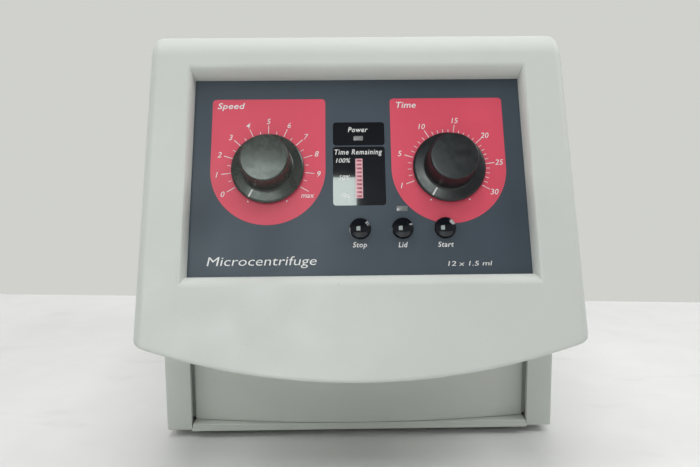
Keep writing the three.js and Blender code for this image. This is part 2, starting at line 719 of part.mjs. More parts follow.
place("power_board", box(-86, 86, -84, -42, 9.5, 11.1), COLOUR.board);
place("transformer", transformer(), COLOUR.copper);
place("motor_capacitor", cylinder("x", [-64, 26], 13, 14, 72, 20), COLOUR.zinc);
place("rear_panel", rearPanel(), COLOUR.housing);
place("power_inlet", powerInlet(), COLOUR.black);
place("fuse_drawer", fuseDrawer(), COLOUR.black);
place("power_switch_frame", switchFrame(), COLOUR.black);
place("power_rocker", powerRocker(), COLOUR.black);

place("control_panel", controlPanel(), COLOUR.panel, panelGroup);
place("power_pane", pane(POWER_PANE, POWER_LAMP), COLOUR.window, panelGroup);
place("time_pane", pane(TIME_PANE, TIME_BAR), COLOUR.window, panelGroup);
place("power_lamp", slab(POWER_LAMP, -4, 0.12), COLOUR.lens, panelGroup);
place("time_bar", slab(TIME_BAR, -4, 0.12), COLOUR.bar, panelGroup);
place("lid_lamp", slab(LID_LAMP, -4, 0.12), COLOUR.lens, panelGroup);
place("control_board", controlBoard(), COLOUR.board, panelGroup);
for (const [name, u] of [["speed", -KNOB.u], ["time", KNOB.u]]) {
  place(`${name}_potentiometer`, potentiometer(u), COLOUR.zinc, panelGroup);
  place(`${name}_shaft`, knobShaft(u), COLOUR.steel, panelGroup);
  place(`${name}_knob`, knob(u), COLOUR.black, panelGroup);
}
["stop", "lid", "start"].forEach((name, i) => {
  place(`${name}_button`, pushButton(i), COLOUR.black, panelGroup);
});

export default microcentrifuge;
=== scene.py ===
import json
import math

import bmesh
import bpy
from mathutils import Matrix, Vector


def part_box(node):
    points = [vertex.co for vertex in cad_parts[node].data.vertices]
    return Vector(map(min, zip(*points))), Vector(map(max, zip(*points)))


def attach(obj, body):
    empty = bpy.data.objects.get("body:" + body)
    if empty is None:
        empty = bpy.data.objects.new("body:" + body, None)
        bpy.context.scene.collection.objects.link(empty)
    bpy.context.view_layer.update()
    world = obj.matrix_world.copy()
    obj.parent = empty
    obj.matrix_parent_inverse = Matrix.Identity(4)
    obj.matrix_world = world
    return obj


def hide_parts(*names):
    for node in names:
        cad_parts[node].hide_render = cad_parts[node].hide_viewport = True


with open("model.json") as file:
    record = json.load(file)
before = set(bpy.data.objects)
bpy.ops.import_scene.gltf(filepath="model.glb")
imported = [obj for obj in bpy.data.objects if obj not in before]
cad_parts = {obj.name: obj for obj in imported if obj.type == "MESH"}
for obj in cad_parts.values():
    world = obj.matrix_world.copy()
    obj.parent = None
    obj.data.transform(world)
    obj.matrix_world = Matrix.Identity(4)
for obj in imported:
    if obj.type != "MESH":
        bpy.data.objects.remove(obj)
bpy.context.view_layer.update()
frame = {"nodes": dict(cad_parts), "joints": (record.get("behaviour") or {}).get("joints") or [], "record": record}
scene = bpy.context.scene

# Sizes below are in millimetres; everything is turned into metres as its mesh is made.
MM = 0.001
TO_METRES = Matrix.Scale(MM, 4)


# ------------------------------------------------------------------ places from the frame
def node_box(node):
    low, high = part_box(node)
    return low / MM, high / MM


JOINTS = {joint["name"]: joint for joint in frame["joints"]}
INWARD = Vector(JOINTS["speed_turn"]["axis"]).normalized()
LEAN = math.asin(-INWARD.z)
SPEED_AT = Vector(JOINTS["speed_turn"]["pos_m"]) / MM
TIME_AT = Vector(JOINTS["time_turn"]["pos_m"]) / MM
KNOB_U = (TIME_AT.x - SPEED_AT.x) / 2
KNOB_V = 3.3  # the dials' height over the panel's middle

# The panel's own frame: u to the right, v up the slope, w outwards.
UP_SLOPE = (-INWARD).cross(Vector((1, 0, 0)))
PANEL_ORIGIN = (SPEED_AT + TIME_AT) / 2 - KNOB_V * UP_SLOPE
PANEL = Matrix.Translation(PANEL_ORIGIN) @ Matrix(
    ((1, 0, 0), UP_SLOPE, -INWARD)
).transposed().to_4x4()

HOUSING_LOW, HOUSING_HIGH = node_box("upper_housing")
HALF_WIDTH = HOUSING_HIGH.x
REAR_Y = HOUSING_HIGH.y
BASE_Z = HOUSING_LOW.z
TOP_Z = HOUSING_HIGH.z


# ------------------------------------------------------------------ materials
def linear(red, green, blue):
    """A colour seen on a screen, 0 to 255, as the shader's linear colour."""
    def channel(value):
        value /= 255
        return value / 12.92 if value <= 0.04045 else ((value + 0.055) / 1.055) ** 2.4

    return (channel(red), channel(green), channel(blue), 1)


def shaded(colour, factor):
    return tuple(min(1, c * factor) for c in colour[:3]) + (1,)


class Look:
    """A Principled material whose colour, roughness and bump come from noise."""

    def __init__(self, name, colour, roughness, metallic=0.0):
        self.material = bpy.data.materials.new(name)
        self.material.use_nodes = True
        self.material.diffuse_color = colour
        self.tree = self.material.node_tree
        self.shader = self.tree.nodes["Principled BSDF"]
        self.shader.inputs["Base Color"].default_value = colour
        self.shader.inputs["Roughness"].default_value = roughness
        self.shader.inputs["Metallic"].default_value = metallic
        self.place = self.node("ShaderNodeTexCoord").outputs["Object"]
        self.colour = None
        self.normal = None
        self.base = colour

    def node(self, kind, **settings):
        made = self.tree.nodes.new(kind)
        for key, value in settings.items():
            setattr(made, key, value)
        return made

    def link(self, source, target):
        self.tree.links.new(source, target)

    def noise(self, scale, detail=3, stretch=None, roughness=0.55):
        """A noise whose features are about 1 / scale metres across."""
        source = self.place
        if stretch:
            mapping = self.node("ShaderNodeMapping")
            mapping.inputs["Scale"].default_value = stretch
            self.link(source, mapping.inputs["Vector"])
            source = mapping.outputs["Vector"]
        made = self.node("ShaderNodeTexNoise")
        made.inputs["Scale"].default_value = scale
        made.inputs["Detail"].default_value = detail
        made.inputs["Roughness"].default_value = roughness
        self.link(source, made.inputs["Vector"])
        return made.outputs["Fac"]

    def ramp(self, source, low, high, from_value=0.0, to_value=1.0):
        made = self.node("ShaderNodeMapRange")
        made.inputs["From Min"].default_value = low
        made.inputs["From Max"].default_value = high
        made.inputs["To Min"].default_value = from_value
        made.inputs["To Max"].default_value = to_value
        self.link(source, made.inputs["Value"])
        return made.outputs["Result"]

    def tint(self, factor, other):
        """Mixes another colour in where the factor is high."""
        mix = self.node("ShaderNodeMix", data_type="RGBA")
        self.link(factor, mix.inputs["Factor"])
        if self.colour:
            self.link(self.colour, mix.inputs["A"])
        else:
            mix.inputs["A"].default_value = self.base
        mix.inputs["B"].default_value = other
        self.colour = mix.outputs["Result"]
        self.link(self.colour, self.shader.inputs["Base Color"])
        return self

    def mottle(self, scale, strength, stretch=None):
        """Slow light and dark clouding of the base colour."""
        clouds = self.noise(scale, 4, stretch)
        self.tint(self.ramp(clouds, 0.45, 0.75), shaded(self.base, 1 - strength))
        return self.tint(self.ramp(clouds, 0.5, 0.25), shaded(self.base, 1 + strength))

    def specks(self, scale, threshold, other):
        dots = self.noise(scale, 2)
        return self.tint(self.ramp(dots, threshold, threshold + 0.03), other)

    def gloss(self, scale, low, high, stretch=None):
        """Roughness that wanders between two values."""
        wander = self.ramp(self.noise(scale, 4, stretch), 0.35, 0.65, low, high)
        self.link(wander, self.shader.inputs["Roughness"])
        return self

    def grain(self, scale, strength, depth=0.0002, detail=2, stretch=None):
        return self.bump(self.noise(scale, detail, stretch), strength, depth)

    def pebble(self, scale, strength, depth=0.0002):
        """The rounded cells of moulded plastic's spark texture."""
        cells = self.node("ShaderNodeTexVoronoi", feature="SMOOTH_F1")
        cells.inputs["Scale"].default_value = scale
        self.link(self.place, cells.inputs["Vector"])
        return self.bump(cells.outputs["Distance"], strength, depth)

    def bump(self, height, strength, depth):
        made = self.node("ShaderNodeBump")
        made.inputs["Strength"].default_value = strength
        made.inputs["Distance"].default_value = depth
        self.link(height, made.inputs["Height"])
        if self.normal:
            self.link(self.normal, made.inputs["Normal"])
        self.normal = made.outputs["Normal"]
        self.link(self.normal, self.shader.inputs["Normal"])
        return self

    def edge_wear(self, other, strength=0.6):
        """Paler, rubbed edges, found by how sharply the surface bends."""
        bend = self.node("ShaderNodeNewGeometry").outputs["Pointiness"]
        rubbed = self.ramp(bend, 0.52, 0.6, 0, strength)
        patchy = self.node("ShaderNodeMath", operation="MULTIPLY")
        self.link(rubbed, patchy.inputs[0])
        self.link(self.ramp(self.noise(90, 4), 0.4, 0.6), patchy.inputs[1])
        return self.tint(patchy.outputs["Value"], other)

    def set(self, **values):
        for key, value in values.items():
            self.shader.inputs[key.replace("_", " ")].default_value = value
        return self


HOUSING_GREY = linear(204, 208, 203)
BASE_GREY = linear(206, 210, 203)
SLATE = linear(68, 78, 88)
RED = linear(225, 84, 105)
WHITE = linear(238, 238, 236)
INK_BLACK = linear(17, 19, 26)
BLACK = linear(22, 24, 26)


def moulded(name, colour):
    look = Look(name, colour, 0.55)
    look.mottle(9, 0.035).specks(520, 0.76, shaded(colour, 0.8))
    look.gloss(60, 0.48, 0.62).pebble(1100, 0.16).grain(3200, 0.1, 0.0001)
    return look.material


def black_plastic(name, low, high, dust, base=BLACK, metal=0.0):
    look = Look(name, base, 0.4)
    look.mottle(90, 0.2).tint(look.ramp(look.noise(2600, 3), 0.45, 0.8, 0, 0.5), dust)
    look.gloss(240, low, high).grain(2600, 0.2, 0.0001)
    look.edge_wear(linear(104, 106, 102), 0.4)
    return look.set(Metallic=metal).material


def brushed(name, colour, roughness, stretch=(1, 1, 30)):
    look = Look(name, colour, roughness, 1.0)
    look.mottle(40, 0.08).gloss(300, roughness * 0.75, roughness * 1.3, stretch)
    return look.grain(900, 0.08, 0.0001, 3, stretch).material


def rubber(name):
    look = Look(name, linear(34, 34, 35), 0.85)
    look.mottle(80, 0.25).specks(900, 0.72, linear(92, 90, 86)).grain(1300, 0.3)
    return look.material


def panel_film(name, colour):
    look = Look(name, colour, 0.42)
    look.mottle(30, 0.05).specks(420, 0.77, shaded(colour, 1.5))
    look.specks(610, 0.79, shaded(colour, 0.55)).gloss(25, 0.4, 0.52).grain(2600, 0.08, 0.0001)
    return look.set(Specular_IOR_Level=0.2).material


def gloss_black(name, roughness, coat):
    look = Look(name, INK_BLACK, roughness)
    look.mottle(50, 0.2).gloss(40, roughness, roughness + 0.03)
    look.specks(900, 0.76, linear(70, 74, 80))
    return look.set(Coat_Weight=coat, Coat_Roughness=0.02, Coat_IOR=1.6).material


def painted_board(name):
    look = Look(name, linear(24, 92, 56), 0.4)
    look.tint(look.ramp(look.noise(260, 1), 0.56, 0.58), linear(40, 120, 70))
    return look.specks(700, 0.7, linear(190, 180, 120)).grain(500, 0.2).material


def lens(name, colour, roughness=0.25):
    look = Look(name, colour, roughness)
    look.mottle(300, 0.1).gloss(200, roughness, roughness + 0.15).grain(900, 0.1)
    return look.set(Coat_Weight=0.3).material


def winding(name):
    look = Look(name, linear(178, 104, 58), 0.35, 0.6)
    look.mottle(60, 0.2).grain(600, 0.5, 0.0006, 2, (1, 1, 9))
    return look.tint(look.ramp(look.noise(30, 3), 0.55, 0.62), linear(60, 44, 30)).material


MATERIAL = {
    "housing": moulded("housing_plastic", HOUSING_GREY),
    "base_plastic": moulded("base_plastic", BASE_GREY),
    "rubber": rubber("rubber"),
    "panel_film": panel_film("panel_film", SLATE),
    "red_film": panel_film("red_film", RED),
    "white_ink": panel_film("white_ink", WHITE),
    "window": gloss_black("window", 0.04, 0.8),
    "lamp_lens": lens("lamp_lens", linear(126, 128, 128)),
    "bar_lens": lens("bar_lens", linear(228, 176, 186)),
    "bar_segment": lens("bar_segment", linear(170, 78, 94)),
    "black_plastic": black_plastic("knob_plastic", 0.3, 0.42, linear(48, 50, 54)),
    "worn_plastic": black_plastic(
        "worn_knob_plastic", 0.22, 0.34, linear(84, 92, 84), linear(54, 58, 54), 0.1
    ),
    "gloss_plastic": gloss_black("button_plastic", 0.05, 0.1),
    "black_moulding": black_plastic("black_moulding", 0.45, 0.65, linear(52, 52, 52)),
    "steel": brushed("brushed_steel", linear(196, 198, 200), 0.28),
    "zinc_steel": brushed("zinc_steel", linear(168, 172, 174), 0.42),
    "anodised": brushed("anodised_aluminium", linear(120, 124, 130), 0.38),
    "circuit_board": painted_board("circuit_board"),
    "winding": winding("copper_winding"),
}


# ------------------------------------------------------------------ mesh helpers
def piece(name, bm, look, body, matrix=None, replaces=(), angle=35):
    """Makes a mesh in millimetres into a piece of the model that rides on a body."""
    bm.transform(TO_METRES @ matrix if matrix else TO_METRES)
    bmesh.ops.recalc_face_normals(bm, faces=bm.faces)
    mesh = bpy.data.meshes.new(name)
    bm.to_mesh(mesh)
    bm.free()
    mesh.materials.append(MATERIAL[look])
    mesh.shade_smooth()
    mesh.set_sharp_from_angle(angle=math.radians(angle))
    obj = bpy.data.objects.new(name, mesh)
    scene.collection.objects.link(obj)
    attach(obj, body)
    if replaces:
        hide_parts(*replaces)
    return obj


def arc(cx, cy, radius, start, end, steps):
    """Points on an arc, angles in degrees, both ends included."""
    points = []
    for i in range(steps + 1):
        a = math.radians(start + (end - start) * i / steps)
        points.append((cx + radius * math.cos(a), cy + radius * math.sin(a)))
    return points


def filleted(points, radius, steps=4, closed=False):
    """The same outline with its corners rounded; ends of an open one stay."""
    made = []
    count = len(points)
    for i, point in enumerate(points):
        if not closed and i in (0, count - 1):
            made.append(point)
            continue
        here = Vector(point)
        back = Vector(points[i - 1]) - here
        on = Vector(points[(i + 1) % count]) - here
        reach = min(radius, back.length * 0.45, on.length * 0.45)
        a, b = here + back.normalized() * reach, here + on.normalized() * reach
        for step in range(steps + 1):
            t = step / steps
            made.append(tuple(a * (1 - t) ** 2 + here * 2 * t * (1 - t) + b * t * t))
    return made


def lathe(profile, segments=64, centre=(0, 0)):
    """A body of revolution from [radius, height] points; closes on itself if off the axis."""
    bm = bmesh.new()
    rings = []
    for radius, height in profile:
        if radius < 1e-6:
            rings.append([bm.verts.new((*centre, height))])
            continue
        rings.append([
            bm.verts.new((
                centre[0] + radius * math.cos(2 * math.pi * i / segments),
                centre[1] + radius * math.sin(2 * math.pi * i / segments),
                height,
            ))
            for i in range(segments)
        ])
    on_axis = len(rings[0]) == 1 and len(rings[-1]) == 1
    pairs = list(zip(rings, rings[1:])) + ([] if on_axis else [(rings[-1], rings[0])])
    for low, high in pairs:
        for i in range(segments):
            j = (i + 1) % segments
            if len(low) == 1 and len(high) == 1:
                continue
            if len(low) == 1:
                bm.faces.new((low[0], high[i], high[j]))
            elif len(high) == 1:
                bm.faces.new((low[i], high[0], low[j]))
            else:
                bm.faces.new((low[i], high[i], high[j], low[j]))
    return bm


def prism(outline, low, high, edge=0.0, steps=3):
    """An outline pushed up from low to high, its top edge rounded by `edge`."""
    bm = bmesh.new()
    base = [bm.verts.new((x, y, low)) for x, y in outline]
    face = bm.faces.new(base)
    grown = bmesh.ops.extrude_face_region(bm, geom=[face])
    tops = [v for v in grown["geom"] if isinstance(v, bmesh.types.BMVert)]
    for vert in tops:
        vert.co.z = high
    if edge:
        chosen = set(tops)
        rim = [e for e in bm.edges if e.verts[0] in chosen and e.verts[1] in chosen]
        bmesh.ops.bevel(bm, geom=rim, offset=edge, segments=steps, profile=0.5, affect="EDGES")
    return bm


def rounded_rectangle(x0, x1, y0, y1, radius, steps=6):
    corners = [(x1 - radius, y0 + radius, -90), (x1 - radius, y1 - radius, 0),
               (x0 + radius, y1 - radius, 90), (x0 + radius, y0 + radius, 180)]
    outline = []
    for cx, cy, start in corners:
        outline += arc(cx, cy, radius, start, start + 90, steps)
    return outline


def block(x0, x1, y0, y1, z0, z1):
    return prism([(x0, y0), (x1, y0), (x1, y1), (x0, y1)], z0, z1)


def join_into(target, other):
    """Adds a copy of another mesh to this one."""
    mesh = bpy.data.meshes.new("joined")
    other.to_mesh(mesh)
    other.free()
    target.from_mesh(mesh)
    bpy.data.meshes.remove(mesh)
    return target


def scratch(bm):
    """A throwaway object that modifiers can work on."""
    bmesh.ops.recalc_face_normals(bm, faces=bm.faces)
    mesh = bpy.data.meshes.new("scratch")
    bm.to_mesh(mesh)
    bm.free()
    obj = bpy.data.objects.new("scratch", mesh)
    scene.collection.objects.link(obj)
    return obj


def carved(bm, steps):
    """Joins or cuts a mesh with others, given as (operation, mesh) pairs in order."""
    base = scratch(bm)
    for operation, tool_mesh in steps:
        tool = scratch(tool_mesh)
        modifier = base.modifiers.new("carve", "BOOLEAN")
        modifier.object = tool
        modifier.operation = operation
        modifier.solver = "EXACT"
        graph = bpy.context.evaluated_depsgraph_get()
        result = bpy.data.meshes.new_from_object(base.evaluated_get(graph))
        base.modifiers.clear()
        base.data = result
        bpy.data.objects.remove(tool)
    made = bmesh.new()
    made.from_mesh(base.data)
    bpy.data.objects.remove(base)
    return made


def round_edges(bm, radius_of, steps=3, sharp=25):
    """Rounds each sharp edge by the radius that radius_of gives for its middle point."""
    bmesh.ops.dissolve_limit(
        bm, angle_limit=math.radians(0.5), verts=bm.verts, edges=bm.edges
    )
    bm.normal_update()
    weights = bm.edges.layers.float
    layer = weights.get("bevel_weight_edge") or weights.new("bevel_weight_edge")
    largest = 0
    for edge in bm.edges:
        edge[layer] = 0
        if len(edge.link_faces) == 2 and edge.calc_face_angle(0) > math.radians(sharp):
            edge[layer] = radius_of((edge.verts[0].co + edge.verts[1].co) / 2, edge)
            largest = max(largest, edge[layer])
    for edge in bm.edges:
        edge[layer] /= largest
    obj = scratch(bm)
    modifier = obj.modifiers.new("round", "BEVEL")
    modifier.limit_method = "WEIGHT"
    modifier.width = largest
    modifier.segments = steps
    modifier.use_clamp_overlap = False
    modifier.miter_outer = "MITER_ARC"
    graph = bpy.context.evaluated_depsgraph_get()
    mesh = bpy.data.meshes.new_from_object(obj.evaluated_get(graph))
    bpy.data.objects.remove(obj)
    made = bmesh.new()
    made.from_mesh(mesh)
    return made


# ------------------------------------------------------------------ the housing
WALL = 3
RECESS = 8
SIDE_ROUND = 5.0
TOP_ROUND = 18
REAR_ROUND = 14
FACE_TOP_V = 64.7
LIP_V = -106.7
LIP_RADIUS = 339.5
PANEL_HALF = (87.0, 53.6)  # half sizes of the recess at the control panel
FLARE = (2.8, 6.8)  # how far its walls swing out on the way to the front face
CHEEK_Y = -96.3
CHEEK_INNER = 96.5


def face_point(v, w):
    point = PANEL @ Vector((0, v, w))
    return point.y, point.z


def side_outline(inset):
    """The housing seen from its side, drawn `inset` inside the skin, as (y, z)."""
    w = RECESS - inset
    foot_v = -(PANEL_ORIGIN.z + 20 + w * math.sin(LEAN)) / math.cos(LEAN)
    lean = math.degrees(LEAN)
    shoulder_y, shoulder_z = face_point(FACE_TOP_V, RECESS)
    centre_y = shoulder_y + TOP_ROUND * math.cos(LEAN)
    centre_z = shoulder_z - TOP_ROUND * math.sin(LEAN)
    outline = [face_point(foot_v, w)]
    outline += arc(centre_y, centre_z, TOP_ROUND - inset, 180 - lean, 90, 20)
    outline += arc(
        REAR_Y - REAR_ROUND, centre_z + TOP_ROUND - REAR_ROUND, REAR_ROUND - inset, 90, 0, 12
    )
    outline.append((REAR_Y - inset, outline[0][1]))
    return outline


def housing_block(inset, side_round, steps):
    bm = bmesh.new()
    half = HALF_WIDTH - inset
    rings = []
    for side in (-1, 1):
        for i in range(steps + 1):
            a = math.radians(90 * (i if side < 0 else steps - i) / steps)
            x = side * (half - side_round + side_round * math.cos(a))
            inner = inset + side_round * (1 - math.sin(a))
            rings.append([bm.verts.new((x, y, z)) for y, z in side_outline(inner)])
    count = len(rings[0])
    for low, high in zip(rings, rings[1:]):
        for i in range(count):
            j = (i + 1) % count
            bm.faces.new((low[i], low[j], high[j], high[i]))
    bm.faces.new(rings[0])
    bm.faces.new(rings[-1])
    return bm


def lip_height(x):
    rise = LIP_RADIUS - math.sqrt(LIP_RADIUS**2 - x**2)
    return face_point(LIP_V, RECESS)[1] + rise * math.cos(LEAN)


def under_chin(raised, y0, y1, half_width, steps=48):
    outline = [(-half_width, -30), (half_width, -30)]
    for i in range(steps + 1):
        x = half_width * (1 - 2 * i / steps)
        outline.append((x, lip_height(x) + raised))
    bm = prism(outline, 0, y1 - y0)
    bm.transform(Matrix.Translation((0, y1, 0)) @ Matrix.Rotation(math.pi / 2, 4, "X"))
    return bm


def panel_block(u0, u1, v0, v1, w0, w1):
    bm = block(u0, u1, v0, v1, w0, w1)
    bm.transform(PANEL)
    return bm


def recess_cutter():
    """The recess: its walls leave the panel squarely and curve out into the front face."""
    steps = 12
    depth = RECESS + 0.05
    bm = bmesh.new()
    rings = []
    for i in range(steps + 1):
        a = math.radians(90 * i / steps)
        half_u = PANEL_HALF[0] + FLARE[0] * (1 - math.cos(a))
        half_v = PANEL_HALF[1] + FLARE[1] * (1 - math.cos(a))
        corners = ((-half_u, -half_v), (half_u, -half_v), (half_u, half_v), (-half_u, half_v))
        rings.append([bm.verts.new((u, v, depth * math.sin(a))) for u, v in corners])
    rings.append([bm.verts.new((*vert.co.xy, depth + 4)) for vert in rings[-1]])
    for low, high in zip(rings, rings[1:]):
        for i in range(4):
            j = (i + 1) % 4
            bm.faces.new((low[i], low[j], high[j], high[i]))
    bm.faces.new(rings[0])
    bm.faces.new(rings[-1])
    bm.transform(PANEL)
    return bm


LID_HOLE = (99, -72, 126)


def housing_edge(at, edge):
    """How far an edge of the housing is rounded, by where it lies."""
    u, v, w = PANEL.inverted() @ at
    if abs(u) < 93 and abs(v) < 64 and -1 < w < RECESS + 0.5:
        return 0
    if at.y < CHEEK_Y - 0.5 and abs(at.z - lip_height(at.x)) < 0.6:
        return 2.6
    if at.z < BASE_Z + 0.2:
        return 0.6
    if at.z > TOP_Z - 0.3 and abs(at.x) < 100:
        return 0.8
    if at.y > REAR_Y - 0.3:
        return 0.6
    if abs(at.x) > HALF_WIDTH - 0.2 and at.z < 70:
        return 0.3
    return 0


def build_apron():
    """The bowed panel under the chin; its upright edges are rounded over."""
    half, bow, thick, front, steps = 95.6, 563, 2.5, -98.3, 24

    def bow_at(x):
        return front + x**2 / (2 * bow)

    edge_y = bow_at(half)
    outline = [(-half, edge_y)]
    for i in range(1, steps):
        x = half * (2 * i / steps - 1)
        outline.append((x, bow_at(x)))
    outline += [(half, edge_y), (half, edge_y + 2.6), (half + 4.4, edge_y + 2.6)]
    outline += [(half + 4.4, edge_y + 4.6), (half - 2, edge_y + 4.6)]
    for i in range(steps + 1):
        x = (half - 2) * (1 - 2 * i / steps)
        outline.append((x, bow_at(x) + thick))
    outline += [(2 - half, edge_y + 4.6), (-half - 4.4, edge_y + 4.6)]
    outline += [(-half - 4.4, edge_y + 2.6), (-half, edge_y + 2.6)]
    rounded = []
    for i, point in enumerate(outline):
        corner = abs(abs(point[0]) - half) < 0.01 and point[1] == edge_y
        if not corner:
            rounded.append(point)
            continue
        around = [outline[i - 1], point, outline[(i + 1) % len(outline)]]
        rounded += filleted(around, 0.8, 4)[1:-1]
    sheet = prism(rounded, BASE_Z + 4.3, 92)
    bm = carved(sheet, [("INTERSECT", under_chin(-0.4, -150, -50, 120))])
    piece("apron_panel", bm, "base_plastic", "housing", None, ["front_apron"])


def build_housing():
    cavity = carved(
        housing_block(WALL, SIDE_ROUND - WALL, 2),
        [("DIFFERENCE", under_chin(WALL, -220, CHEEK_Y + WALL, HALF_WIDTH + 20))],
    )
    hole = LID_HOLE
    lid_hole = prism(rounded_rectangle(-hole[0], hole[0], hole[1], hole[2], 8), 215, 240)
    notches = [block(x - 13, x + 13, hole[2] - 1, 140, 215, 240) for x in (-60, 60)]
    vents = bmesh.new()
    for i in range(9):
        y = 62 + 8 * i
        slot = rounded_rectangle(y - 1.5, y + 1.5, 26, 62, 1.4, 4)
        cutter = prism(slot, -HALF_WIDTH - 1, HALF_WIDTH + 1)
        cutter.transform(Matrix(((0, 0, 1), (1, 0, 0), (0, 1, 0))).to_4x4())
        join_into(vents, cutter)
    bm = carved(
        housing_block(0, SIDE_ROUND, 8),
        [
            ("DIFFERENCE", block(-150, 150, -250, 250, -60, BASE_Z)),
            ("DIFFERENCE", under_chin(0, -220, CHEEK_Y, HALF_WIDTH + 20)),
            ("DIFFERENCE", cavity),
            ("UNION", panel_block(-94, 94, -63, 63, 0.4, RECESS - WALL + 0.2)),
            ("DIFFERENCE", recess_cutter()),
            ("DIFFERENCE", under_chin(0, CHEEK_Y - 1, CHEEK_Y + WALL + 1, CHEEK_INNER)),
            ("DIFFERENCE", lid_hole),
            ("DIFFERENCE", notches[0]),
            ("DIFFERENCE", notches[1]),
            ("DIFFERENCE", block(-100, 100, 150, 170, 10, 196)),
            ("DIFFERENCE", vents),
        ],
    )
    bm = round_edges(bm, housing_edge)
    for height in (72, 78, 90):
        bmesh.ops.bisect_plane(
            bm, geom=bm.verts[:] + bm.edges[:] + bm.faces[:],
            plane_co=(0, 0, height), plane_no=(0, 0, 1), dist=0.0001,
        )
    shell = piece("housing_shell", bm, "housing", "housing", None, ["upper_housing"])
    shell.modifiers.new("flat faces", "WEIGHTED_NORMAL").keep_sharp = True
    return shell


build_housing()
build_apron()


# ------------------------------------------------------------------ the control panel
PRINT = 0.03  # height of one layer of print, over the layer below
BUTTON_U = [0.3, 22.1, 43.9]
BUTTON_V = -29.2
BUTTON_HOLE = 5.55
SHAFT_HOLE = 5
PATCH_HOLE = 6


def patch_outline(u):
    """The red patch round a dial: a half circle below, square corners above."""
    radius, top, corner = 30.1, 42.8, 2
    outline = arc(u, KNOB_V, radius, 180, 360, 48)
    outline += arc(u + radius - corner, top - corner, corner, 0, 90, 5)
    outline += arc(u - radius + corner, top - corner, corner, 90, 180, 5)
    return outline


def hole(radius, u, v, segments=48):
    """A cut right through the panel, as a step for carved."""
    return "DIFFERENCE", lathe([(0, -4), (radius, -4), (radius, 4), (0, 4)], segments, (u, v))


def build_panel():
    half_u, half_v = PANEL_HALF[0] + 3, PANEL_HALF[1] + 3
    sheet = block(-half_u, half_u, -half_v, half_v, -1.5, 0)
    holes = [hole(BUTTON_HOLE, u, BUTTON_V) for u in BUTTON_U]
    holes += [hole(SHAFT_HOLE, u, KNOB_V) for u in (-KNOB_U, KNOB_U)]
    bm = carved(sheet, holes)
    piece("panel_sheet", bm, "panel_film", "housing", PANEL, ["control_panel"])
    for name, u in (("speed_patch", -KNOB_U), ("time_patch", KNOB_U)):
        patch = carved(prism(patch_outline(u), 0.005, PRINT), [hole(PATCH_HOLE, u, KNOB_V, 32)])
        if u > 0:  # the start button comes up through the right-hand patch
            patch = carved(patch, [hole(BUTTON_HOLE, BUTTON_U[2], BUTTON_V)])
        piece(name, patch, "red_film", "housing", PANEL)


def build_displays():
    for name, rect, node in (
        ("power_window", (-13.3, 14.0, 16.2, 29.2), "power_pane"),
        ("time_window", (-13.4, 14.0, -16.8, 15.4), "time_pane"),
    ):
        bm = prism(rounded_rectangle(*rect, 1.6), -1.3, 2 * PRINT)
        piece(name, bm, "window", "housing", PANEL, [node])
    for name, rect, node in (
        ("power_lens", (-2.4, 2.6, 18.9, 21.4), "power_lamp"),
        ("lid_lens", (19.3, 25.0, -20.1, -17.3), "lid_lamp"),
    ):
        bm = prism(rounded_rectangle(*rect, 0.4), -3, 0.12, 0.05, 2)
        piece(name, bm, "lamp_lens", "housing", PANEL, [node])
    left, right, low, high = -1.6, 2.1, -12.9, 8.7
    body = prism(rounded_rectangle(left, right, low, high, 0.15), -3, 0.09)
    piece("bar_body", body, "bar_lens", "housing", PANEL, ["time_bar"])
    segments = bmesh.new()
    pitch = (high - low) / 10
    for i in range(10):
        middle = low + (i + 0.5) * pitch
        outline = rounded_rectangle(left + 0.45, right - 0.45, middle - 0.62, middle + 0.5, 0.2, 3)
        join_into(segments, prism(outline, 0.05, 0.12, 0.02, 2))
    piece("bar_segments", segments, "bar_segment", "housing", PANEL)


def lettering(text, slant=0.2, weight=0.012, spacing=1.0):
    """Flat letters as a mesh, with the left end of the baseline at the origin."""
    curve = bpy.data.curves.new("letters", "FONT")
    curve.body = text
    curve.size = 10
    curve.shear = slant
    curve.offset = weight * 10
    curve.space_character = spacing
    curve.resolution_u = 3
    curve.fill_mode = "FRONT"
    obj = bpy.data.objects.new("letters", curve)
    scene.collection.objects.link(obj)
    graph = bpy.context.evaluated_depsgraph_get()
    mesh = bpy.data.meshes.new_from_object(obj.evaluated_get(graph))
    bpy.data.objects.remove(obj)
    bm = bmesh.new()
    bm.from_mesh(mesh)
    return bm


def extent(bm):
    xs = [v.co.x for v in bm.verts]
    ys = [v.co.y for v in bm.verts]
    return min(xs), max(xs), min(ys), max(ys)


def set_type(target, text, left, right, top, level, height=None, **style):
    """Letters that fill the width between left and right, with their tops at `top`.

    The height is that of a capital; without one the letters keep their shape.
    """
    bm = lettering(text, **style)
    x0, x1, y0, y1 = extent(bm)
    scale = (right - left) / (x1 - x0)
    rise = height / y1 if height else scale
    for vert in bm.verts:
        vert.co.x = left + (vert.co.x - x0) * scale
        vert.co.y = top + (vert.co.y - y1) * rise
        vert.co.z = level
    join_into(target, bm)


def set_number(target, text, u, v, height, level):
    bm = lettering(text, weight=0.002)
    x0, x1, y0, y1 = extent(bm)
    scale = height / (y1 - y0)
    for vert in bm.verts:
        vert.co.x = u + (vert.co.x - (x0 + x1) / 2) * scale
        vert.co.y = v + (vert.co.y - (y0 + y1) / 2) * scale
        vert.co.z = level
    join_into(target, bm)


def tick(target, u, angle, inner, outer, width, level):
    """A short line on a dial's scale; the angle is clockwise from the top, in degrees."""
    a = math.radians(angle)
    along = Vector((math.sin(a), math.cos(a)))
    across = Vector((along.y, -along.x)) * width / 2
    centre = Vector((u, KNOB_V))
    corners = [centre + along * r + across * s for r, s in
               ((inner, -1), (inner, 1), (outer, 1), (outer, -1))]
    target.faces.new([target.verts.new((c.x, c.y, level)) for c in corners])


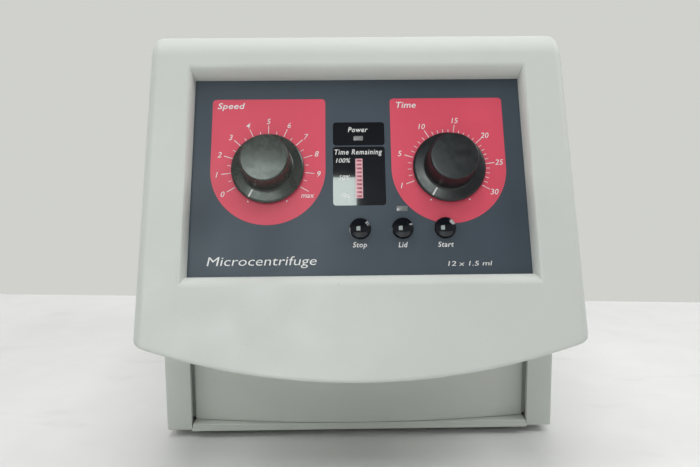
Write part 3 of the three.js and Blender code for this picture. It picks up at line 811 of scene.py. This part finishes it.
def polar(u, angle, radius):
    a = math.radians(angle)
    return u + radius * math.sin(a), KNOB_V + radius * math.cos(a)


def build_print():
    ink = bmesh.new()
    on_red = 2 * PRINT
    on_window = 3 * PRINT
    set_type(ink, "Speed", -74.9, -60.3, 40.9, on_red, 3.4, weight=0.012, spacing=1.05)
    set_type(ink, "Time", 20.7, 31.3, 40.8, on_red, 3.4, weight=0.012, spacing=1.05)
    set_type(ink, "Power", -5.3, 5.2, 26.4, on_window, 2.7, weight=0.012, spacing=1.12)
    set_type(ink, "Time Remaining", -12.5, 12.5, 13.9, on_window, 2.8, weight=0.01, spacing=1.15)
    set_type(ink, "100%", -11.8, -4.2, 9.0, on_window, 2.4, weight=0.004)
    set_type(ink, "50%", -10.4, -4.6, -0.4, on_window, 2.4, weight=0.004)
    set_type(ink, "10%", -10.0, -4.4, -10.3, on_window, 2.4, weight=0.004)
    set_type(ink, "Stop", -3.6, 3.6, -36.2, PRINT, 2.7, weight=0.012, spacing=1.1)
    set_type(ink, "Lid", 19.7, 24.4, -36.4, PRINT, 2.7, weight=0.012, spacing=1.1)
    set_type(ink, "Start", 39.9, 47.9, -36.4, PRINT, 2.7, weight=0.012, spacing=1.1)
    set_type(ink, "Microcentrifuge", -77.4, -22.0, -43.2, PRINT, 4.6, slant=0.15, weight=-0.004)
    set_type(ink, "12 x 1.5 ml", 44.5, 66.9, -46.6, PRINT, 2.4, slant=0.15, weight=0.0)
    for i in range(11):
        angle = -120 + 24 * i
        reach = 24.4 if i < 10 else 24.6
        tick(ink, -KNOB_U, angle, 19.6, reach, 0.35, on_red)
        if i < 10:
            tick(ink, -KNOB_U, angle + 12, 19.6, 21.4, 0.3, on_red)
            set_number(ink, str(i), *polar(-KNOB_U, angle, 26.8), 3.0, on_red)
    u, v = polar(-KNOB_U, 126, 25.7)
    set_type(ink, "max", u - 3.4, u + 3.4, v + 1.2, on_red, weight=0.002)
    marks = {1: -111, 5: -72.5, 10: -30, 15: 9.5, 20: 48, 25: 84, 30: 120}
    for minutes, angle in marks.items():
        tick(ink, KNOB_U, angle, 19.6, 24.2, 0.35, on_red)
        set_number(ink, str(minutes), *polar(KNOB_U, angle, 26.8), 3.0, on_red)
    whole = sorted(marks)
    for low, high in zip(whole, whole[1:]):
        for minutes in range(low + 1, high):
            share = (minutes - low) / (high - low)
            angle = marks[low] + share * (marks[high] - marks[low])
            tick(ink, KNOB_U, angle, 19.6, 21.6, 0.3, on_red)
    for u in (-KNOB_U, KNOB_U):
        for angle in (-150, 150):
            x, y = polar(u, angle, 20.1)
            low, radius = on_red - 0.01, 0.42
            dot = lathe([(0, low), (radius, low), (radius, on_red), (0, on_red)], 12, (x, y))
            join_into(ink, dot)
    piece("panel_lettering", ink, "white_ink", "housing", PANEL)


build_panel()
build_displays()
build_print()


# ------------------------------------------------------------------ dials and buttons
POINTER_ANGLE = -149  # where the dials point at rest, clockwise from the top


def build_knob(name, u, look):
    """A skirted dial, and the white line on its skirt."""
    skirt, cap, height = 19.0, 12.2, 18.4
    profile = [
        (0, 2.0), (3.4, 2.0), (3.4, 0.8), (skirt - 0.5, 0.8), (skirt, 1.4), (skirt, 2.2),
        (skirt - 0.9, 2.9), (cap + 1.4, 3.9), (cap + 0.6, 4.8), (cap + 0.1, height - 0.8),
        (cap - 0.5, height), (0, height),
    ]
    rounded = filleted(profile, 0.35, 3)
    bm = lathe(rounded, 96, (u, KNOB_V))
    body, replaced = f"{name}_dial", [f"{name}_knob"]
    piece(f"{name}_knob_body", bm, look, body, PANEL, replaced, 40)
    line = bmesh.new()
    a = math.radians(POINTER_ANGLE)
    along = Vector((math.sin(a), math.cos(a), 0))
    across = Vector((along.y, -along.x, 0)) * 0.42
    centre = Vector((u, KNOB_V, 0))
    section = []
    for radius, top in ((cap + 1.9, 3.93), (skirt - 0.7, 3.0)):
        for side in (-1, 1):
            for level in (-0.5, 0.0):
                at = centre + along * radius + across * side
                section.append(line.verts.new((at.x, at.y, top + level)))
    bmesh.ops.convex_hull(line, input=section)
    piece(f"{name}_pointer", line, "white_ink", f"{name}_dial", PANEL)


build_knob("speed", -KNOB_U, "worn_plastic")
build_knob("time", KNOB_U, "black_plastic")


def build_button(name, u):
    side, radius, top = 5.2, 7.9, 3.9  # the dome is a shallow cap of a larger ball
    widest = math.degrees(math.asin((side - 0.5) / radius))
    profile = [(0, -8), (2, -8), (2, -4), (6.4, -4), (6.4, -2.1), (side, -2.1)]
    rim = top - radius * (1 - math.cos(math.radians(widest)))
    profile += arc(side - 0.5, rim - 0.42, 0.5, 0, 55, 5)
    profile += arc(0, top - radius, radius, 90 - widest + 2, 90, 16)
    bm = lathe(profile, 72, (u, BUTTON_V))
    body, replaced = f"{name}_key", [f"{name}_button"]
    piece(f"{name}_dome", bm, "gloss_plastic", body, PANEL, replaced, 40)


for button_name, button_u in zip(("stop", "lid", "start"), BUTTON_U):
    build_button(button_name, button_u)


# ------------------------------------------------------------------ the rotor
WELLS = 12
WELL_RADIUS = 5.6
WELL_DEPTH = 32
WELL_TILT = 45
WELL_RUN_OUT = 12  # how far a well's cutter stands out of its mouth
MOUTH_RADIUS = 38
BORE_RADIUS = 5.4


def build_rotor():
    """A turned aluminium rotor whose tube wells lean outwards as they go down."""
    low, high = node_box("rotor")
    x, y = (low.x + high.x) / 2, (low.y + high.y) / 2
    radius = (high.x - low.x) / 2
    mouth_z = high.z - 18
    rim = MOUTH_RADIUS + high.z - mouth_z
    foot = MOUTH_RADIUS - 12
    profile = [
        (0, low.z), (radius - 18, low.z), (radius, low.z + 12), (radius, high.z - 1.5),
        (radius - 1.5, high.z), (rim, high.z), (foot, mouth_z - 12), (16, mouth_z - 12),
        (16, mouth_z - 1), (0, mouth_z - 1),
    ]
    bore = [(0, 100), (BORE_RADIUS, 100), (BORE_RADIUS, 240), (0, 240)]
    steps = [("DIFFERENCE", lathe(bore, 32, (x, y)))]
    well_profile = [
        (0, -WELL_DEPTH), (WELL_RADIUS, -WELL_DEPTH),
        (WELL_RADIUS, WELL_RUN_OUT), (0, WELL_RUN_OUT),
    ]
    for i in range(WELLS):
        well = lathe(well_profile, 40)
        well.transform(
            Matrix.Translation((x, y, mouth_z))
            @ Matrix.Rotation(math.radians(360 * i / WELLS), 4, "Z")
            @ Matrix.Translation((MOUTH_RADIUS, 0, 0))
            @ Matrix.Rotation(math.radians(-WELL_TILT), 4, "Y")
        )
        steps.append(("DIFFERENCE", well))
    bm = carved(lathe(filleted(profile, 0.8, 3), 120, (x, y)), steps)
    piece("rotor_body", bm, "anodised", "rotor", None, ["rotor"])


SLOT_OF = {part["node"]: part["material_slot"] for part in frame["record"]["subparts"]}
build_rotor()


# ------------------------------------------------------------------ looks of the CAD nodes
EDGE = {"base_pan": 0.5, "lid_shell": 1.2, "chamber_deck": 0.8}
for node_name, node in frame["nodes"].items():
    if node.hide_render:
        continue
    node.data.materials.clear()
    node.data.materials.append(MATERIAL[SLOT_OF[node_name]])
    weld = node.modifiers.new("weld", "WELD")
    weld.merge_threshold = 2e-5
    flat = node.modifiers.new("flat", "DECIMATE")
    flat.decimate_type = "DISSOLVE"
    flat.angle_limit = math.radians(1)
    bevel = node.modifiers.new("edges", "BEVEL")
    bevel.width = EDGE.get(node_name, 0.3) * MM
    bevel.segments = 2
    bevel.limit_method = "ANGLE"
    bevel.angle_limit = math.radians(40)
    bevel.harden_normals = True


# ------------------------------------------------------------------ floor, light and camera
def floor():
    """A pale bench whose far edge lies a little askew behind the machine."""
    bm = bmesh.new()
    corners = [(-1.6, -1.7), (1.6, -1.7), (1.6, 0.087), (-1.6, 0.432)]
    bm.faces.new([bm.verts.new((x, y, 0)) for x, y in corners])
    mesh = bpy.data.meshes.new("floor")
    bm.to_mesh(mesh)
    bm.free()
    look = Look("floor_white", linear(229, 229, 228), 0.5)
    look.mottle(5, 0.035).mottle(28, 0.02).tint(
        look.ramp(look.noise(14, 6, (1, 3, 1)), 0.6, 0.72, 0, 0.35), linear(206, 206, 204)
    )
    look.gloss(20, 0.4, 0.6).grain(300, 0.05)
    mesh.materials.append(look.material)
    obj = bpy.data.objects.new("floor", mesh)
    scene.collection.objects.link(obj)


def area_light(name, location, target, size, power, seen_in_gloss=True):
    light = bpy.data.lights.new(name, "AREA")
    light.shape = "RECTANGLE"
    light.size, light.size_y = size
    light.energy = power
    obj = bpy.data.objects.new(name, light)
    obj.location = location
    obj.rotation_euler = (Vector(target) - Vector(location)).to_track_quat("-Z", "Y").to_euler()
    obj.visible_glossy = seen_in_gloss
    scene.collection.objects.link(obj)
    return obj


def studio_world(wall, ceiling, front):
    """A pale wall behind the machine, and a dimmer room before and over it."""
    world = bpy.data.worlds.new("studio")
    world.use_nodes = True
    tree = world.node_tree
    direction = tree.nodes.new("ShaderNodeSeparateXYZ")
    tree.links.new(tree.nodes.new("ShaderNodeTexCoord").outputs["Generated"], direction.inputs[0])

    def blend(axis, low, high, first, second):
        ramp = tree.nodes.new("ShaderNodeMapRange")
        ramp.interpolation_type = "SMOOTHSTEP"
        ramp.inputs["From Min"].default_value = low
        ramp.inputs["From Max"].default_value = high
        tree.links.new(direction.outputs[axis], ramp.inputs["Value"])
        mix = tree.nodes.new("ShaderNodeMix")
        mix.data_type = "RGBA"
        tree.links.new(ramp.outputs["Result"], mix.inputs["Factor"])
        for name, colour in (("A", first), ("B", second)):
            if isinstance(colour, tuple):
                mix.inputs[name].default_value = colour
            else:
                tree.links.new(colour, mix.inputs[name])
        return mix.outputs["Result"]

    around = blend("Y", 0.0, 0.5, front, wall)
    room = blend("Z", 0.4, 0.8, around, ceiling)
    tree.links.new(room, tree.nodes["Background"].inputs["Color"])
    scene.world = world


def window_light(u, v, w, size, power):
    """A bright window seen in glossy things, given in the panel's frame and facing it squarely."""
    light = area_light("window", PANEL @ Vector((u, v, w)) * MM, (0, 0, 0), size, power)
    light.rotation_euler = PANEL.to_3x3().to_euler()
    light.visible_diffuse = False
    light.data.color = (0.88, 1.0, 0.96)


floor()
studio_world(linear(208, 209, 204), (0.05, 0.05, 0.05, 1), (0.25, 0.25, 0.255, 1))
area_light("right", (1.15, -0.17, 1.2), (0, -0.1, 0.15), (0.7, 0.7), 9.0)
area_light("left", (-1.15, -0.3, 1.2), (0, -0.1, 0.15), (0.7, 0.7), 6.2, False)
area_light("front_top", (0, -0.75, 1.5), (0, -0.1, 0.12), (0.9, 0.6), 5.4, False)
area_light("top", (0, 0.15, 1.6), (0, -0.05, 0.15), (1.0, 1.0), 12.5, False)
area_light("front_left", (-0.24, -1.06, 0.76), (0, -0.1, 0.15), (0.52, 0.38), 1.3, False)
window_light(-239, 33, 954, (0.522, 0.567), 7)
scene.view_settings.view_transform = "Standard"

SENSOR, LENS = 36, 31.89
CAMERA_AT = Vector((-8.8, -438.8, 157.5))
TILT_DOWN, TURN_LEFT, ROLL = 6.752, -0.703, -0.524  # degrees

camera_data = bpy.data.cameras.new("camera")
camera_data.sensor_width = SENSOR
camera_data.lens = LENS
camera = bpy.data.objects.new("camera", camera_data)
camera.matrix_world = (
    Matrix.Translation(CAMERA_AT * MM)
    @ Matrix.Rotation(math.radians(TURN_LEFT), 4, "Z")
    @ Matrix.Rotation(math.radians(90 - TILT_DOWN), 4, "X")
    @ Matrix.Rotation(math.radians(ROLL), 4, "Z")
)
scene.collection.objects.link(camera)
scene.camera = camera
